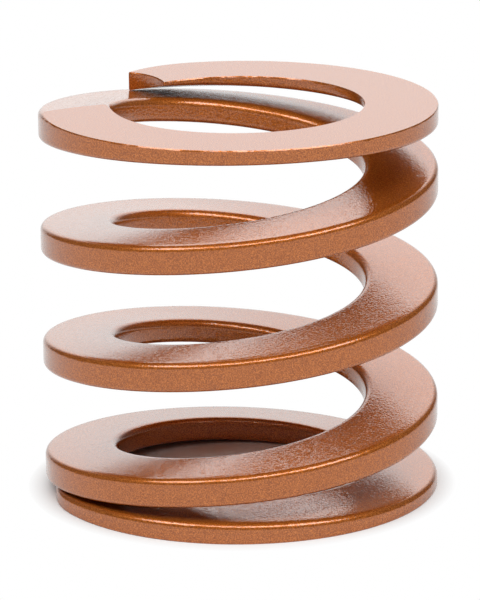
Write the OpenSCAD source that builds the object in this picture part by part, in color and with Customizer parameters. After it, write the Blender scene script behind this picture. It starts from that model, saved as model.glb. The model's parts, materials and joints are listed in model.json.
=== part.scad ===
// Bump stop spring: a stiff compression coil wound from flat wire, right-handed,
// with both end turns closed on their neighbours and ground flat.
// The axis is Z, the spring stands on its ground bottom end at z = 0, sizes are in millimetres.

/* [Spring] */
// Outside diameter
outer_d = 50.8; // [44:0.1:64]
// Diameter of the bore, sized on the two end turns
bore_d = 32; // [26:0.1:36]
// Free length between the two ground ends
free_length = 50.3; // [44:0.1:64]
// Turns from tip to tip
turns = 4.83; // [4.4:0.01:5.2]
// Place of the bottom tip around the axis, in degrees from +X
bottom_tip = 188; // [0:1:359]

/* [Wire] */
// Thickness of the wire along the axis, at its outer wall
wire_t = 3.75; // [3:0.05:4.4]
// Thickness of the wire along the axis, at its inner wall
inner_t = 3.15; // [2.6:0.05:4]
// Radius on the two outer edges of the wire
edge_r = 0.7; // [0.3:0.05:1]
// Radius on the two inner edges of the wire
inner_edge_r = 1.1; // [0.3:0.05:1.2]
// Tilt of the section in the working turns, inner edge up, in degrees
wire_tilt = 4.3; // [0:0.1:6]
// Tilt of the section at the top tip, inner edge up, in degrees
top_tilt = 10; // [4:0.1:12]
// Tilt of the section where the bottom turn is dished most, inner edge up, in degrees
bottom_tilt = 9.8; // [4:0.1:12]
// Angle of wire from the bottom tip to the end of that dish
dish_angle = 441; // [400:1:540]

/* [Closed ends] */
// Thickness left at the bottom tip once the end is ground
bottom_tip_t = 1.65; // [1:0.05:3]
// Thickness left at the top tip once the end is ground
top_tip_t = 1.5; // [1:0.05:3]
// Gap between a tip and the turn that it closes on
tip_gap = 0.05; // [0.05:0.05:1]
// Lean of a closed turn towards its neighbour, in millimetres a turn
closing_lean = 3.6; // [1:0.05:3.7]
// Angle over which the bottom turn opens to the working pitch
bottom_opening = 254; // [160:1:260]
// Angle over which the top turn opens to the working pitch
top_opening = 116; // [80:1:200]

/* [Tips] */
// How far the bottom tip is bent off its neighbour
bottom_bend = 2.1; // [0.5:0.05:2.3]
// How far the top tip is bent off its neighbour
top_bend = 1.8; // [0.5:0.05:2]
// Angle of wire in each bend
tip_bend_angle = 100; // [50:1:110]
// How far a tip curls in from the outside diameter
tip_curl = 1.5; // [0.5:0.05:2]
// Angle of wire in that curl
tip_curl_angle = 22; // [12:1:40]

/* [Bore] */
// Angle of wire at each end that is sized to the bore
sized_angle = 310; // [290:1:340]
// How far the working turns stand back from the bore
bore_relief = 0.05; // [0.03:0.01:0.3]

/* [Hidden] */

// Sections in a turn, and chords on each rounded edge
turn_steps = 60;
edge_steps = 3;
// How far the swept wire stands proud of the walls that trim it
proud = 0.1;

outer_r = outer_d / 2;
bore_r = bore_d / 2;
mean_r = (outer_r + bore_r) / 2;
half_w = (outer_r - bore_r) / 2;
mean_t = (wire_t + inner_t) / 2;
wire_angle = turns * 360;
stations = ceil(turns * turn_steps);

// Middle of the wire at each tip
bottom_tip_z = bottom_tip_t - mean_t / 2;
top_tip_z = free_length - top_tip_t + mean_t / 2;

// Rise over a turn that just clears its neighbour, at whichever wall they come closer
function closed_rise(a) =
    let (turned = half_w * (tilt(a + 360) - tilt(a)))
    tip_gap + max(wire_t + turned, inner_t - turned);

// What the bends and the lean leave for the pitch to climb, and the pitch that closes the sum
bottom_climb = closed_rise(0) - bottom_bend + closing_lean;
top_climb = closed_rise(wire_angle - 360) - top_bend + closing_lean;
climb = top_tip_z - bottom_tip_z - bottom_bend - top_bend + closing_lean * turns;
pitch_gain = (climb - bottom_climb - top_climb) / (turns - 2);

// Wire angle from each tip to the start of its opening
bottom_closed = 360 * (1 - bottom_climb / pitch_gain) - bottom_opening / 2;
top_closed = 360 * (1 - top_climb / pitch_gain) - top_opening / 2;

// Angle that counts at full pitch, when the pitch grows evenly over an opening
function opened(a, start, opening) =
    let (s = max(0, min(1, (a - start) / opening)))
    opening * s * s / 2 + max(0, a - start - opening);

// A share that falls from 1 at a tip to 0 after the given angle of wire
function near_tip(from_tip, angle) = max(0, 1 - from_tip / angle);

// Height of the wire's middle at an angle of wire from the bottom tip
function height(a) =
    bottom_tip_z
    + bottom_bend * (1 - near_tip(a, tip_bend_angle) ^ 2)
    + top_bend * near_tip(wire_angle - a, tip_bend_angle) ^ 2
    - closing_lean * a / 360
    + pitch_gain / 360 * (opened(a, bottom_closed, bottom_opening)
        - opened(a, wire_angle - top_closed - top_opening, top_opening));

// Slope of the section: the bottom turn is dished between its tip and its opening,
// and the top turn tips up from the working tilt to the top tip's own
function dish(a) = a < dish_angle ? sin(180 * a / dish_angle) ^ 2 : 0;
function tilt(a) =
    tan(wire_tilt)
    + (tan(bottom_tilt) - tan(wire_tilt)) * dish(a)
    + (tan(top_tilt) - tan(wire_tilt)) * near_tip(wire_angle - a, 360);

// How far the wire is curled in, and the radius of its swept inner wall
function curl(a) =
    tip_curl * (near_tip(a, tip_curl_angle) ^ 2 + near_tip(wire_angle - a, tip_curl_angle) ^ 2);
function inner_wall(a) =
    min(a, wire_angle - a) < sized_angle ? bore_r - proud : (bore_r + bore_relief) / cos(180 / turn_steps);

// One rounded edge of the wire as [radius, height] points, in quadrant q; its last chord runs to the wall
function edge_points(q, wall) = [
    for (k = [0:edge_steps])
    let (
        a = 90 * (q + k / edge_steps),
        outside = wall > mean_r,
        r = outside ? edge_r : inner_edge_r,
        centre_r = outside ? outer_r - r : bore_r + r,
        centre_z = (q < 2 ? 1 : -1) * ((outside ? wire_t : inner_t) / 2 - r),
        at_wall = k == (q % 2 == 0 ? 0 : edge_steps)
    )
    [at_wall ? wall : centre_r + r * cos(a), centre_z + r * sin(a)]
];

// The wire's section at an angle of wire
function section(a) = [
    for (q = [0:3], p = edge_points(q, q % 3 == 0 ? outer_r + proud : inner_wall(a))) p
];

// A section set in space: tilted, curled in and raised to its place on the coil
function placed(a) = [
    for (p = section(a))
    let (r = p[0] - curl(a), t = bottom_tip + a)
    [r * cos(t), r * sin(t), height(a) + p[1] - (p[0] - mean_r) * tilt(a)]
];

// The bare wire wound from tip to tip, before its ends are ground and its walls are trimmed
module wound_wire() {
    n = 4 * (edge_steps + 1);
    points = [for (i = [0:stations], p = placed(wire_angle * i / stations)) p];
    sides = [
        for (i = [0:stations - 1], j = [0:n - 1])
        let (a = i * n + j, b = i * n + (j + 1) % n)
        each [[a, b, b + n], [a, b + n, a + n]]
    ];
    start_cap = [for (j = [n - 1:-1:0]) j];
    end_cap = [for (j = [0:n - 1]) stations * n + j];
    polyhedron(points = points, faces = concat(sides, [start_cap, end_cap]), convexity = 12);
}

// The finished coil: both ends ground square, the outside trimmed true and the end turns sized to the bore
module coil() {
    color([0.69, 0.44, 0.28])
    difference() {
        intersection() {
            wound_wire();
            cylinder(r = outer_r, h = free_length, $fn = 180);
        }
        translate([0, 0, -1])
        cylinder(r = bore_r, h = free_length + 2, $fn = 180);
    }
}

coil();
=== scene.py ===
"""Looks of the bump stop spring: a smooth coil with ground ends under a metallic bronze coat."""
import json
import math

import bmesh
import bpy
import numpy as np
from mathutils import Matrix, Vector, noise


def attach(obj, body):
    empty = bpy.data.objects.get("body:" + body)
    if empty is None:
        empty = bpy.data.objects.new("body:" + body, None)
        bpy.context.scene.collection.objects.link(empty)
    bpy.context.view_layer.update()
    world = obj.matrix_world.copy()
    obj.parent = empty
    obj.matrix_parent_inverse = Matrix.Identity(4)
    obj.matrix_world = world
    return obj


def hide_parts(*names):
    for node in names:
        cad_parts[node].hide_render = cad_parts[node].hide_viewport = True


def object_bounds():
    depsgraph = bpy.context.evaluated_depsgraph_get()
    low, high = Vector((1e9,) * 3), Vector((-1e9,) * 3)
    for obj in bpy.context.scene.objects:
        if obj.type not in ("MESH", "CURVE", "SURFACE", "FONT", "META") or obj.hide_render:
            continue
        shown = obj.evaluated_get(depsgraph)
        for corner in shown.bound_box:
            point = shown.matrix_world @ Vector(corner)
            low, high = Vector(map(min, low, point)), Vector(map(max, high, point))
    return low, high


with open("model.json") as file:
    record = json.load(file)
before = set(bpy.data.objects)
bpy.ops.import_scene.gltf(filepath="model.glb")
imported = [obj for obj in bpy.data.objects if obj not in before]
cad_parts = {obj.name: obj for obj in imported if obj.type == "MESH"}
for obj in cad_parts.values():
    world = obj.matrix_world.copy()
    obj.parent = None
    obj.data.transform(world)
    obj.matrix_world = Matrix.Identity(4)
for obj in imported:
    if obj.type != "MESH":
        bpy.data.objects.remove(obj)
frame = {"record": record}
cad_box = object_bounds()
MM = 0.001

# Main sizes in millimetres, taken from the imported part
OUTER_R = cad_box[1].x / MM
LENGTH = cad_box[1].z / MM
BORE_R = next(m for m in frame["record"]["mounts"] if m["name"] == "bore")["dims"]["r_mm"]
MEAN_R = (OUTER_R + BORE_R) / 2
HALF_W = (OUTER_R - BORE_R) / 2

# The wound wire, with the sizes of the solid (millimetres and degrees)
TURNS = 4.83
BOTTOM_TIP = 188
WIRE_T = 3.75
INNER_T = 3.15
EDGE_R = 0.7
INNER_EDGE_R = 1.1
WIRE_TILT = 4.3
TOP_TILT = 10
BOTTOM_TILT = 9.8
DISH_ANGLE = 441
BOTTOM_TIP_T = 1.65
TOP_TIP_T = 1.5
TIP_GAP = 0.05
CLOSING_LEAN = 3.6
BOTTOM_OPENING = 254
TOP_OPENING = 116
BOTTOM_BEND = 2.1
TOP_BEND = 1.8
TIP_BEND_ANGLE = 100
TIP_CURL = 1.5
TIP_CURL_ANGLE = 22
MEAN_T = (WIRE_T + INNER_T) / 2
WIRE_ANGLE = TURNS * 360

# Radius of the wire's lower inner edge, crisper than the solid's
UNDER_EDGE_R = 0.5

# The sheared end of each tip: how hollow it is, the wire angle that it reaches back,
# and the radius of its edges
SHEAR_HOLLOW = 1.0
SHEAR_REACH = 9
SHEAR_EDGE_R = 0.2

# How far the underside of the top end turn sags at its outer edge, below the solid's,
# and the wire angles from the tip where the sag is full, starts to fade and ends
TOP_SAG = 0.3
SAG_START = 15
SAG_END = (70, 115)

# The broken edge round each ground face, as width and height, the least spacing of its corners,
# and the least height of wall between them and the next ones below
RIM_WIDTH = 0.1
RIM_DROP = 0.15
RIM_MERGE = 0.12
RIM_WALL = 0.02

# How ragged that edge is: the share of its height that changes, and the waves in a millimetre
RIM_RAGGED = 0.4
RIM_WAVES = 1.3

# How close to the grinding plane a point counts as on it, in metres
CUT_TOLERANCE = 1e-9

# Mesh resolution: degrees of wire along it, and segments round its section
STATION_STEP = 1.5
TIP_STEP = 0.5
EDGE_SEGMENTS = 7
FLAT_SEGMENTS = 12
WALL_SEGMENTS = 3
SHARP_ANGLE = math.radians(32)

# Camera fitted to the rims of both ground ends, for an image of 480 by 600 pixels
IMAGE_H = 600
FOCAL_PX = 4163.5
SENSOR = 36
CAMERA_DISTANCE = 0.53487
CAMERA_ELEVATION = 15.615
CAMERA_PITCH = -0.0733
CAMERA_ROLL = -0.5661


def slope(degrees):
    return math.tan(math.radians(degrees))


def near_tip(from_tip, angle):
    """A share that falls from 1 at a tip to 0 after the given angle of wire."""
    return np.clip(1 - from_tip / angle, 0, 1)


def dish(a):
    return np.where(a < DISH_ANGLE, np.sin(np.pi * a / DISH_ANGLE) ** 2, 0)


def tilt(a):
    """Slope of the wire's section, inner edge up."""
    return (
        slope(WIRE_TILT)
        + (slope(BOTTOM_TILT) - slope(WIRE_TILT)) * dish(a)
        + (slope(TOP_TILT) - slope(WIRE_TILT)) * near_tip(WIRE_ANGLE - a, 360)
    )


def closed_rise(a):
    """Rise over a turn that just clears its neighbour, at whichever wall they come closer."""
    turned = HALF_W * (tilt(a + 360) - tilt(a))
    return TIP_GAP + max(WIRE_T + turned, INNER_T - turned)


BOTTOM_TIP_Z = BOTTOM_TIP_T - MEAN_T / 2
TOP_TIP_Z = LENGTH - TOP_TIP_T + MEAN_T / 2
BOTTOM_CLIMB = closed_rise(0) - BOTTOM_BEND + CLOSING_LEAN
TOP_CLIMB = closed_rise(WIRE_ANGLE - 360) - TOP_BEND + CLOSING_LEAN
CLIMB = TOP_TIP_Z - BOTTOM_TIP_Z - BOTTOM_BEND - TOP_BEND + CLOSING_LEAN * TURNS
PITCH_GAIN = (CLIMB - BOTTOM_CLIMB - TOP_CLIMB) / (TURNS - 2)
BOTTOM_CLOSED = 360 * (1 - BOTTOM_CLIMB / PITCH_GAIN) - BOTTOM_OPENING / 2
TOP_CLOSED = 360 * (1 - TOP_CLIMB / PITCH_GAIN) - TOP_OPENING / 2


def opened(a, start, opening):
    """Angle that counts at full pitch, when the pitch grows evenly over an opening."""
    s = np.clip((a - start) / opening, 0, 1)
    return opening * s * s / 2 + np.maximum(0, a - start - opening)


def height(a):
    """Height of the wire's middle at an angle of wire from the bottom tip."""
    return (
        BOTTOM_TIP_Z
        + BOTTOM_BEND * (1 - near_tip(a, TIP_BEND_ANGLE) ** 2)
        + TOP_BEND * near_tip(WIRE_ANGLE - a, TIP_BEND_ANGLE) ** 2
        - CLOSING_LEAN * a / 360
        + PITCH_GAIN / 360 * (
            opened(a, BOTTOM_CLOSED, BOTTOM_OPENING)
            - opened(a, WIRE_ANGLE - TOP_CLOSED - TOP_OPENING, TOP_OPENING)
        )
    )


def curl(a):
    """How far the outer wall is curled in at the tips."""
    share = near_tip(a, TIP_CURL_ANGLE) ** 2 + near_tip(WIRE_ANGLE - a, TIP_CURL_ANGLE) ** 2
    return TIP_CURL * share


def arc(centre, radius, start, end, segments):
    angles = np.radians(np.linspace(start, end, segments + 1))
    return np.stack([centre[0] + radius * np.cos(angles), centre[1] + radius * np.sin(angles)], 1)


def half_section(outer_edge_r, inner_edge_r):
    """The upper half of the wire's section as radius and height, from the outer wall to the inner wall."""
    outer_z = WIRE_T / 2 - outer_edge_r
    inner_z = INNER_T / 2 - inner_edge_r
    outer_rise = np.linspace(0, outer_z, WALL_SEGMENTS, endpoint=False)
    inner_rise = np.linspace(inner_z, 0, WALL_SEGMENTS + 1)[1:]
    outer = np.stack([np.full(WALL_SEGMENTS, OUTER_R), outer_rise], 1)
    inner = np.stack([np.full(WALL_SEGMENTS, BORE_R), inner_rise], 1)
    outer_edge = arc((OUTER_R - outer_edge_r, outer_z), outer_edge_r, 0, 90, EDGE_SEGMENTS)
    inner_edge = arc((BORE_R + inner_edge_r, inner_z), inner_edge_r, 90, 180, EDGE_SEGMENTS)
    flat = np.linspace(outer_edge[-1], inner_edge[0], FLAT_SEGMENTS + 1)[1:-1]
    return np.concatenate([outer, outer_edge, flat, inner_edge, inner])


def section(top_edges, under_edges):
    """The wire's section, from the middle of the outer wall over the top and back under."""
    top = half_section(*top_edges)
    under = half_section(*under_edges)[-2:0:-1] * (1, -1)
    return np.concatenate([top, under])


def sections(angles):
    """A section for each wire angle: rounded along the wire, with crisp edges at the sheared tips."""
    rounded = section((EDGE_R, INNER_EDGE_R), (EDGE_R, UNDER_EDGE_R))
    crisp = section((SHEAR_EDGE_R, SHEAR_EDGE_R), (SHEAR_EDGE_R, SHEAR_EDGE_R))
    from_tip = np.minimum(angles, WIRE_ANGLE - angles)
    share = near_tip(from_tip, TIP_CURL_ANGLE)[:, None, None] ** 2
    return rounded * (1 - share) + crisp * share


def sag(a, radius, rise):
    """How far the underside of the top end turn hangs towards its neighbour."""
    from_tip = WIRE_ANGLE - a
    along = np.interp(from_tip, (0, SAG_START, *SAG_END), (0, 1, 1, 0))
    return TOP_SAG * along * (rise < 0) * (radius - BORE_R) / (OUTER_R - BORE_R)


def stations():
    """Wire angles of the sections, closer together at the tips."""
    tip = np.arange(0, SHEAR_REACH, TIP_STEP)
    middle = np.linspace(SHEAR_REACH, WIRE_ANGLE - SHEAR_REACH, round(WIRE_ANGLE / STATION_STEP))
    return np.concatenate([tip, middle, np.flip(WIRE_ANGLE - tip)])


def placed(a, radius, rise):
    """Points of the wire, in millimetres, from wire angles and places in the section."""
    hollow = np.degrees(SHEAR_HOLLOW / MEAN_R) * (1 - ((radius - MEAN_R) / HALF_W) ** 2)
    sheared = a + hollow * (near_tip(a, SHEAR_REACH) - near_tip(WIRE_ANGLE - a, SHEAR_REACH))
    r = BORE_R + (radius - BORE_R) * (1 - curl(a) / (OUTER_R - BORE_R))
    t = np.radians(BOTTOM_TIP + sheared)
    z = height(a) + rise - (radius - MEAN_R) * tilt(a) - sag(a, radius, rise)
    return np.stack([r * np.cos(t), r * np.sin(t), z], -1)


def wound_wire():
    """The bare wire from tip to tip as a bmesh in metres, before its ends are ground."""
    angles = stations()
    outlines = sections(angles)
    count = outlines.shape[1]
    points = placed(angles[:, None], outlines[:, :, 0], outlines[:, :, 1]) * MM
    bm = bmesh.new()
    rings = [[bm.verts.new(p) for p in row] for row in points]
    for lower, upper in zip(rings, rings[1:]):
        for j in range(count):
            k = (j + 1) % count
            bm.faces.new((lower[j], lower[k], upper[k], upper[j]))
    for i in (0, -1):
        close_tip(bm, rings[i], outlines[i], angles[i])
    bmesh.ops.recalc_face_normals(bm, faces=bm.faces)
    return bm


def close_tip(bm, end, ring, a):
    """Closes one end with columns of faces from the outer wall to the inner wall."""
    rows = 2 * WALL_SEGMENTS
    inner = len(ring) // 2
    columns = [[end[k] for k in range(WALL_SEGMENTS, -WALL_SEGMENTS - 1, -1)]]
    for j in range(WALL_SEGMENTS + 1, inner - WALL_SEGMENTS):
        share = np.linspace(0, 1, rows + 1)[1:-1, None]
        places = ring[j] * (1 - share) + ring[-j] * share
        inside = placed(np.full(rows - 1, a), places[:, 0], places[:, 1]) * MM
        columns.append([end[j], *(bm.verts.new(p) for p in inside), end[-j]])
    columns.append([end[k] for k in range(inner - WALL_SEGMENTS, inner + WALL_SEGMENTS + 1)])
    for left, right in zip(columns, columns[1:]):
        for i in range(rows):
            bm.faces.new((left[i], left[i + 1], right[i + 1], right[i]))


def grind(bm, level, up):
    """Cuts the wire square at a height and closes the cut; returns the flat face inside its broken rim."""
    geometry = bm.verts[:] + bm.edges[:] + bm.faces[:]
    bmesh.ops.bisect_plane(
        bm,
        geom=geometry,
        dist=CUT_TOLERANCE,
        plane_co=(0, 0, level * MM),
        plane_no=(0, 0, up),
        clear_outer=True,
    )
    corners = [v for v in bm.verts if v.is_boundary]
    bmesh.ops.remove_doubles(bm, verts=corners, dist=RIM_MERGE * MM)
    rim = [e for e in bm.edges if e.is_boundary]
    wall = {e for v in bm.verts if v.is_boundary for e in v.link_edges if not e.is_boundary}
    faces = bmesh.ops.contextual_create(bm, geom=rim)["faces"]
    bm.normal_update()
    bmesh.ops.inset_region(bm, faces=faces, thickness=RIM_WIDTH * MM, use_boundary=True)
    break_rim(rim, wall, up)
    return faces


def break_rim(rim, wall, up):
    """Takes the rim of a ground face down at steep walls, and leaves it where the wire runs out flat.

    The corners below it, at the other ends of the wall's edges, are kept below it.
    """
    corners = list(dict.fromkeys(vert for edge in rim for vert in edge.verts))
    for vert in corners:
        steepness = max(1 - abs(face.normal.z) for face in vert.link_faces)
        ragged = 1 + RIM_RAGGED * noise.noise(vert.co * RIM_WAVES / MM)
        vert.co.z -= up * RIM_DROP * MM * steepness * ragged
    for vert in corners:
        for edge in wall.intersection(vert.link_edges):
            below = edge.other_vert(vert)
            if up * (vert.co.z - below.co.z) < RIM_WALL * MM:
                below.co.z = vert.co.z - up * RIM_WALL * MM


def smooth_coil():
    """The finished coil: a smooth wire with flat ground ends and sharp sheared tips."""
    bm = wound_wire()
    for level, up in ((LENGTH, 1), (0, -1)):
        for face in grind(bm, level, up):
            face.material_index = 1
    bmesh.ops.recalc_face_normals(bm, faces=bm.faces)
    if bm.calc_volume(signed=True) < 0:
        bmesh.ops.reverse_faces(bm, faces=bm.faces)
    mesh = bpy.data.meshes.new("spring_coil")
    bm.to_mesh(mesh)
    bm.free()
    mesh.set_sharp_from_angle(angle=SHARP_ANGLE)
    for face in mesh.polygons:
        face.use_smooth = face.material_index == 0
    coil = bpy.data.objects.new("spring_coil", mesh)
    bpy.context.scene.collection.objects.link(coil)
    return coil


class Nodes:
    """Short ways to add and link nodes in one tree."""

    def __init__(self, tree):
        self.tree = tree
        tree.nodes.clear()

    def add(self, kind, links=None, **settings):
        node = self.tree.nodes.new(kind)
        for name, value in settings.items():
            setattr(node, name, value)
        for socket, value in (links or {}).items():
            self.set(node.inputs[socket], value)
        return node

    def set(self, socket, value):
        if isinstance(value, bpy.types.NodeSocket):
            self.tree.links.new(value, socket)
        else:
            socket.default_value = value

    def math(self, operation, a, b):
        return self.add("ShaderNodeMath", {0: a, 1: b}, operation=operation).outputs[0]


# The coat's colours, as linear light
BRONZE_DARK = (0.29, 0.068, 0.007, 1)
BRONZE = (0.455, 0.122, 0.015, 1)
BRONZE_LIGHT = (0.64, 0.20, 0.037, 1)
EDGE_TINT = (0.36, 0.36, 0.36, 1)

# Places of the three bronzes on the noise of the flakes
TONE_STOPS = (0.36, 0.5, 0.64)

# The paint: how much of it is metal, and its roughness between one flake and another
METAL_SHARE = 0.5
PAINT_ROUGHNESS = (0.28, 0.42)

# The clear gloss over it
GLOSS_ROUGHNESS = 0.1
GLOSS_IOR = 1.6

# The coat's texture: sizes as cells a metre, heights in metres
FLAKE_SCALE = 6500.0
FLAKE_DETAIL = 2.0
FLAKE_FINENESS = 0.6
FLAKE_STRENGTH = 0.5
FLAKE_HEIGHT = 0.00003
PEEL_SCALE = 3900.0
PEEL_HEIGHT = 0.000023
NIB_SCALE = 420.0
NIB_RADIUS = 0.07
NIB_SHARE = 0.2
NIB_HEIGHT = 0.00002

# Depth of the orange peel on the wire, and on the ground faces
WIRE_PEEL = 1.0
GROUND_PEEL = 0.12


def dust_nibs(n, place):
    """Height of the few grains of dust that lie under the clear coat."""
    cells = n.add("ShaderNodeTexVoronoi", {"Vector": place, "Scale": NIB_SCALE})
    distance = cells.outputs["Distance"]
    grain = n.add("ShaderNodeMapRange", {"Value": distance, "From Min": NIB_RADIUS, "From Max": 0.0})
    chance = n.add("ShaderNodeSeparateXYZ", {0: cells.outputs["Color"]}).outputs["X"]
    chosen = n.math("LESS_THAN", chance, NIB_SHARE)
    return n.math("MULTIPLY", grain.outputs["Result"], chosen)


def bronze_tones(n, flake):
    """The colour of each flake, from dark to light bronze."""
    tones = n.add("ShaderNodeValToRGB", {"Fac": flake})
    dark, light = tones.color_ramp.elements
    dark.position, middle_place, light.position = TONE_STOPS
    dark.color = BRONZE_DARK
    light.color = BRONZE_LIGHT
    tones.color_ramp.elements.new(middle_place).color = BRONZE
    return tones.outputs["Color"]


def bronze_coat(name, peel):
    """Metallic bronze paint of grainy flakes, under a clear gloss with dust and an orange peel."""
    material = bpy.data.materials.new(name)
    material.use_nodes = True
    n = Nodes(material.node_tree)
    place = n.add("ShaderNodeTexCoord").outputs["Object"]
    flake = n.add("ShaderNodeTexNoise", {
        "Vector": place,
        "Scale": FLAKE_SCALE,
        "Detail": FLAKE_DETAIL,
        "Roughness": FLAKE_FINENESS,
    }).outputs["Fac"]
    rough = n.add("ShaderNodeMapRange", {
        "Value": flake,
        "To Min": PAINT_ROUGHNESS[0],
        "To Max": PAINT_ROUGHNESS[1],
    })
    grain = n.add("ShaderNodeBump", {"Height": flake, "Strength": FLAKE_STRENGTH, "Distance": FLAKE_HEIGHT})
    skin = n.add("ShaderNodeTexNoise", {"Vector": place, "Scale": PEEL_SCALE, "Detail": 0.0}).outputs["Fac"]
    wave = n.add("ShaderNodeBump", {"Height": skin, "Strength": peel, "Distance": PEEL_HEIGHT})
    gloss = n.add("ShaderNodeBump", {
        "Height": dust_nibs(n, place),
        "Strength": 1.0,
        "Distance": NIB_HEIGHT,
        "Normal": wave.outputs["Normal"],
    })
    coat = n.add("ShaderNodeBsdfPrincipled", {
        "Base Color": bronze_tones(n, flake),
        "Metallic": METAL_SHARE,
        "Specular IOR Level": 0.0,
        "Specular Tint": EDGE_TINT,
        "Roughness": rough.outputs["Result"],
        "Normal": grain.outputs["Normal"],
        "Coat Weight": 1.0,
        "Coat Roughness": GLOSS_ROUGHNESS,
        "Coat IOR": GLOSS_IOR,
        "Coat Normal": gloss.outputs["Normal"],
    })
    n.add("ShaderNodeOutputMaterial", {"Surface": coat.outputs["BSDF"]})
    return material


# Half the floor's side, and how far it lies under the spring, in metres
FLOOR_HALF = 2.0
FLOOR_DROP = 0.00002

# The floor's grey, and where its lit patch fades to plain white (metres from the axis)
FLOOR_GREY = 0.88
FADE_START = 0.0245
FADE_END = 0.0278

# Levels of the backdrop at the horizon and higher up, how high that is, how it rises, and the room's level
BACKDROP_LEVEL = (1.38, 2.38)
BACKDROP_HIGH = 0.48
BACKDROP_CURVE = 2.0
ROOM_LEVEL = 0.1

# Where the backdrop starts to fade and where it ends, as parts of a direction: height, depth and width
BACKDROP_TOP = (0.50, 0.78)
BACKDROP_DEPTH = (0.45, 0.05)
BACKDROP_SIDE = (0.25, 0.55)

# The softboxes in an arc before the spring, as name, place and size in metres, and the power of each in watts
SOFTBOXES = (
    ("left", (-0.46, -0.32, 0.69), (0.45, 0.30)),
    ("middle", (0.03, -0.54, 0.70), (0.55, 0.22)),
    ("right", (0.46, -0.32, 0.69), (0.45, 0.30)),
)
SOFTBOX_POWER = 2.7


def floor_material():
    """White floor: lit by the lamps near the spring, to keep its shadow, and plain white further out."""
    material = bpy.data.materials.new("white_floor")
    material.use_nodes = True
    n = Nodes(material.node_tree)
    lit = n.add("ShaderNodeBsdfDiffuse", {"Color": (FLOOR_GREY, FLOOR_GREY, FLOOR_GREY, 1)})
    white = n.add("ShaderNodeEmission", {"Color": (1, 1, 1, 1), "Strength": 1.0})
    place = n.add("ShaderNodeTexCoord").outputs["Object"]
    reach = n.add("ShaderNodeVectorMath", {0: place}, operation="LENGTH").outputs["Value"]
    far = n.add("ShaderNodeMapRange", {"Value": reach, "From Min": FADE_START, "From Max": FADE_END})
    path = n.add("ShaderNodeLightPath").outputs
    seen = n.math("MAXIMUM", path["Is Camera Ray"], path["Is Glossy Ray"])
    share = n.math("MULTIPLY", far.outputs["Result"], seen)
    mix = n.add("ShaderNodeMixShader", {0: share, 1: lit.outputs[0], 2: white.outputs[0]})
    n.add("ShaderNodeOutputMaterial", {"Surface": mix.outputs[0]})
    return material


def make_floor():
    mesh = bpy.data.meshes.new("floor")
    turns = ((-1, -1), (1, -1), (1, 1), (-1, 1))
    corners = [(x * FLOOR_HALF, y * FLOOR_HALF, -FLOOR_DROP) for x, y in turns]
    mesh.from_pydata(corners, [], [(0, 1, 2, 3)])
    floor = bpy.data.objects.new("floor", mesh)
    floor.data.materials.append(floor_material())
    bpy.context.scene.collection.objects.link(floor)


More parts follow.
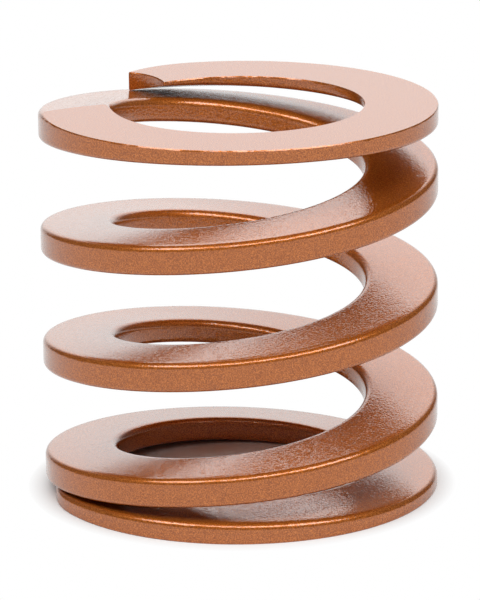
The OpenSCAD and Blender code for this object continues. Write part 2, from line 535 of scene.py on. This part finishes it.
def make_world():
    """A white backdrop behind the spring and low down, brighter higher up, in a dark room."""
    world = bpy.data.worlds.new("studio")
    bpy.context.scene.world = world
    world.use_nodes = True
    n = Nodes(world.node_tree)
    place = n.add("ShaderNodeTexCoord").outputs["Generated"]
    axes = n.add("ShaderNodeSeparateXYZ", {0: place}).outputs
    width = n.math("ABSOLUTE", axes["X"], 0.0)
    share = 1.0
    fades = ((axes["Z"], BACKDROP_TOP), (axes["Y"], BACKDROP_DEPTH), (width, BACKDROP_SIDE))
    for value, (full, end) in fades:
        part = n.add("ShaderNodeMapRange", {"Value": value, "From Min": end, "From Max": full})
        share = n.math("MULTIPLY", part.outputs["Result"], share)
    up = n.add("ShaderNodeMapRange", {"Value": axes["Z"], "From Min": 0.0, "From Max": BACKDROP_HIGH})
    rise = n.math("POWER", up.outputs["Result"], BACKDROP_CURVE)
    low, high = BACKDROP_LEVEL
    level = n.add("ShaderNodeMapRange", {"Value": rise, "To Min": low, "To Max": high}).outputs["Result"]
    room = n.add("ShaderNodeMapRange", {"Value": share, "To Min": ROOM_LEVEL, "To Max": level})
    path = n.add("ShaderNodeLightPath").outputs
    strength = n.math("MAXIMUM", room.outputs["Result"], path["Is Camera Ray"])
    sky = n.add("ShaderNodeBackground", {"Color": (1, 1, 1, 1), "Strength": strength})
    n.add("ShaderNodeOutputWorld", {"Surface": sky.outputs[0]})


def add_softbox(name, place, size):
    """A lamp that faces the middle of the spring."""
    lamp = bpy.data.lights.new(name, "AREA")
    lamp.shape = "RECTANGLE"
    lamp.size, lamp.size_y = size
    lamp.energy = SOFTBOX_POWER
    box = bpy.data.objects.new(name, lamp)
    box.location = place
    box.rotation_mode = "QUATERNION"
    box.rotation_quaternion = (spring_middle() - Vector(place)).to_track_quat("-Z", "Y")
    bpy.context.scene.collection.objects.link(box)


def spring_middle():
    return Vector((0, 0, LENGTH * MM / 2))


def make_camera():
    elevation = math.radians(CAMERA_ELEVATION)
    pitch = math.radians(CAMERA_PITCH)
    roll = math.radians(CAMERA_ROLL)
    centre = spring_middle()
    back = Vector((0, -math.cos(elevation), math.sin(elevation)))
    level = Vector((1, 0, 0))
    above = level.cross(-back)
    forward = -back * math.cos(pitch) + above * math.sin(pitch)
    above = level.cross(forward)
    right = level * math.cos(roll) + above * math.sin(roll)
    top = above * math.cos(roll) - level * math.sin(roll)
    camera = bpy.data.objects.new("camera", bpy.data.cameras.new("camera"))
    camera.matrix_world = Matrix((right, top, -forward)).transposed().to_4x4()
    camera.location = centre + back * CAMERA_DISTANCE
    camera.data.sensor_width = SENSOR
    camera.data.lens = SENSOR * FOCAL_PX / IMAGE_H
    bpy.context.scene.collection.objects.link(camera)
    bpy.context.scene.camera = camera


make_camera()
coil = smooth_coil()
coil.data.materials.append(bronze_coat("bronze_coat", WIRE_PEEL))
coil.data.materials.append(bronze_coat("bronze_coat_ground", GROUND_PEEL))
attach(coil, "root")
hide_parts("coil")

make_floor()
make_world()
for name, place, size in SOFTBOXES:
    add_softbox(name, place, size)
bpy.context.scene.view_settings.view_transform = "Standard"
